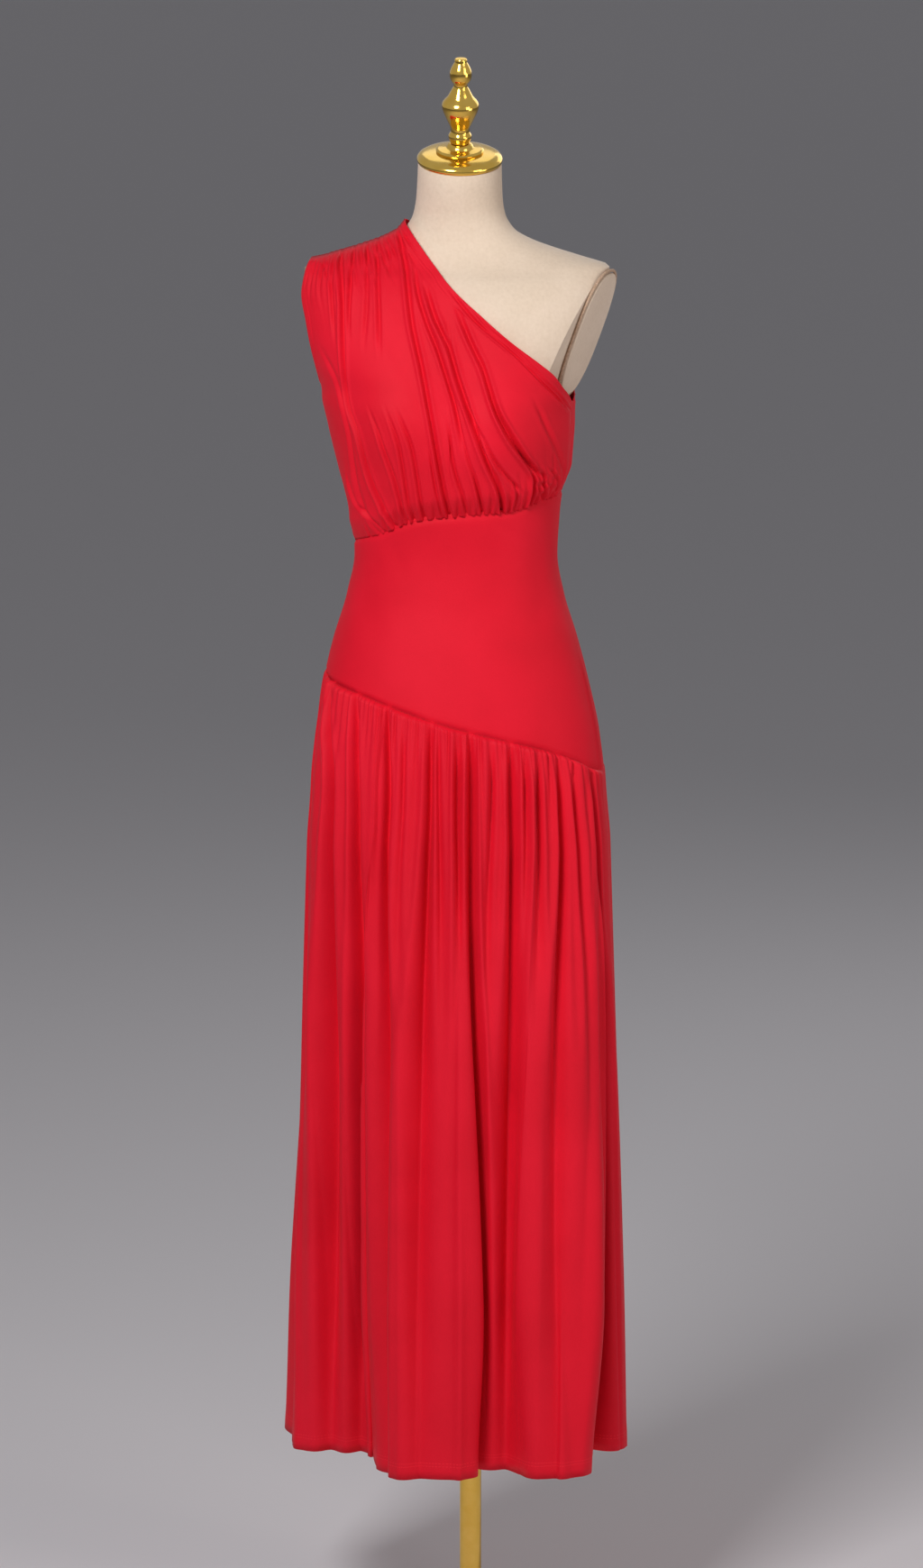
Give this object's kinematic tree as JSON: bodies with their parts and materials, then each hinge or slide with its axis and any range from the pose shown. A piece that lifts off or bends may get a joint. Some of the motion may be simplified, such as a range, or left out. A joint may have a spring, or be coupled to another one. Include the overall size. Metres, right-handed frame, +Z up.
{
  "type": "one-shoulder dress on a limbless dress form",
  "caption": "Floor-length one-shoulder dress with gathered bodice, smooth slanted midriff and gathered skirt, on a limbless dress form with a pole stand.",
  "frame": {"origin": "centre of the stand's underside, on the pole's axis", "axes": "+Z up, the front of the dress faces -Y, the covered shoulder is on the -X side"},
  "size_m": [0.3995, 0.3505, 1.8242],
  "materials": {
    "red_jersey": "fine matt jersey with a soft sheen",
    "form_cover": "plain cream cover, matt",
    "form_piping": "narrow tan piping",
    "polished_gold": "polished gold plate"
  },
  "bodies": {
    "root": {"bodice_front": "red_jersey", "bodice_back": "red_jersey", "midriff_front": "red_jersey", "midriff_back": "red_jersey", "skirt_front": "red_jersey", "skirt_back": "red_jersey", "form_torso": "form_cover", "form_arm_plate_right": "form_cover", "form_arm_plate_left": "form_cover", "form_arm_piping_right": "form_piping", "form_arm_piping_left": "form_piping", "neck_cap": "polished_gold", "finial": "polished_gold", "pole_flange": "polished_gold", "stand_pole": "polished_gold", "stand_base": "polished_gold"}
  },
  "joints": []
}
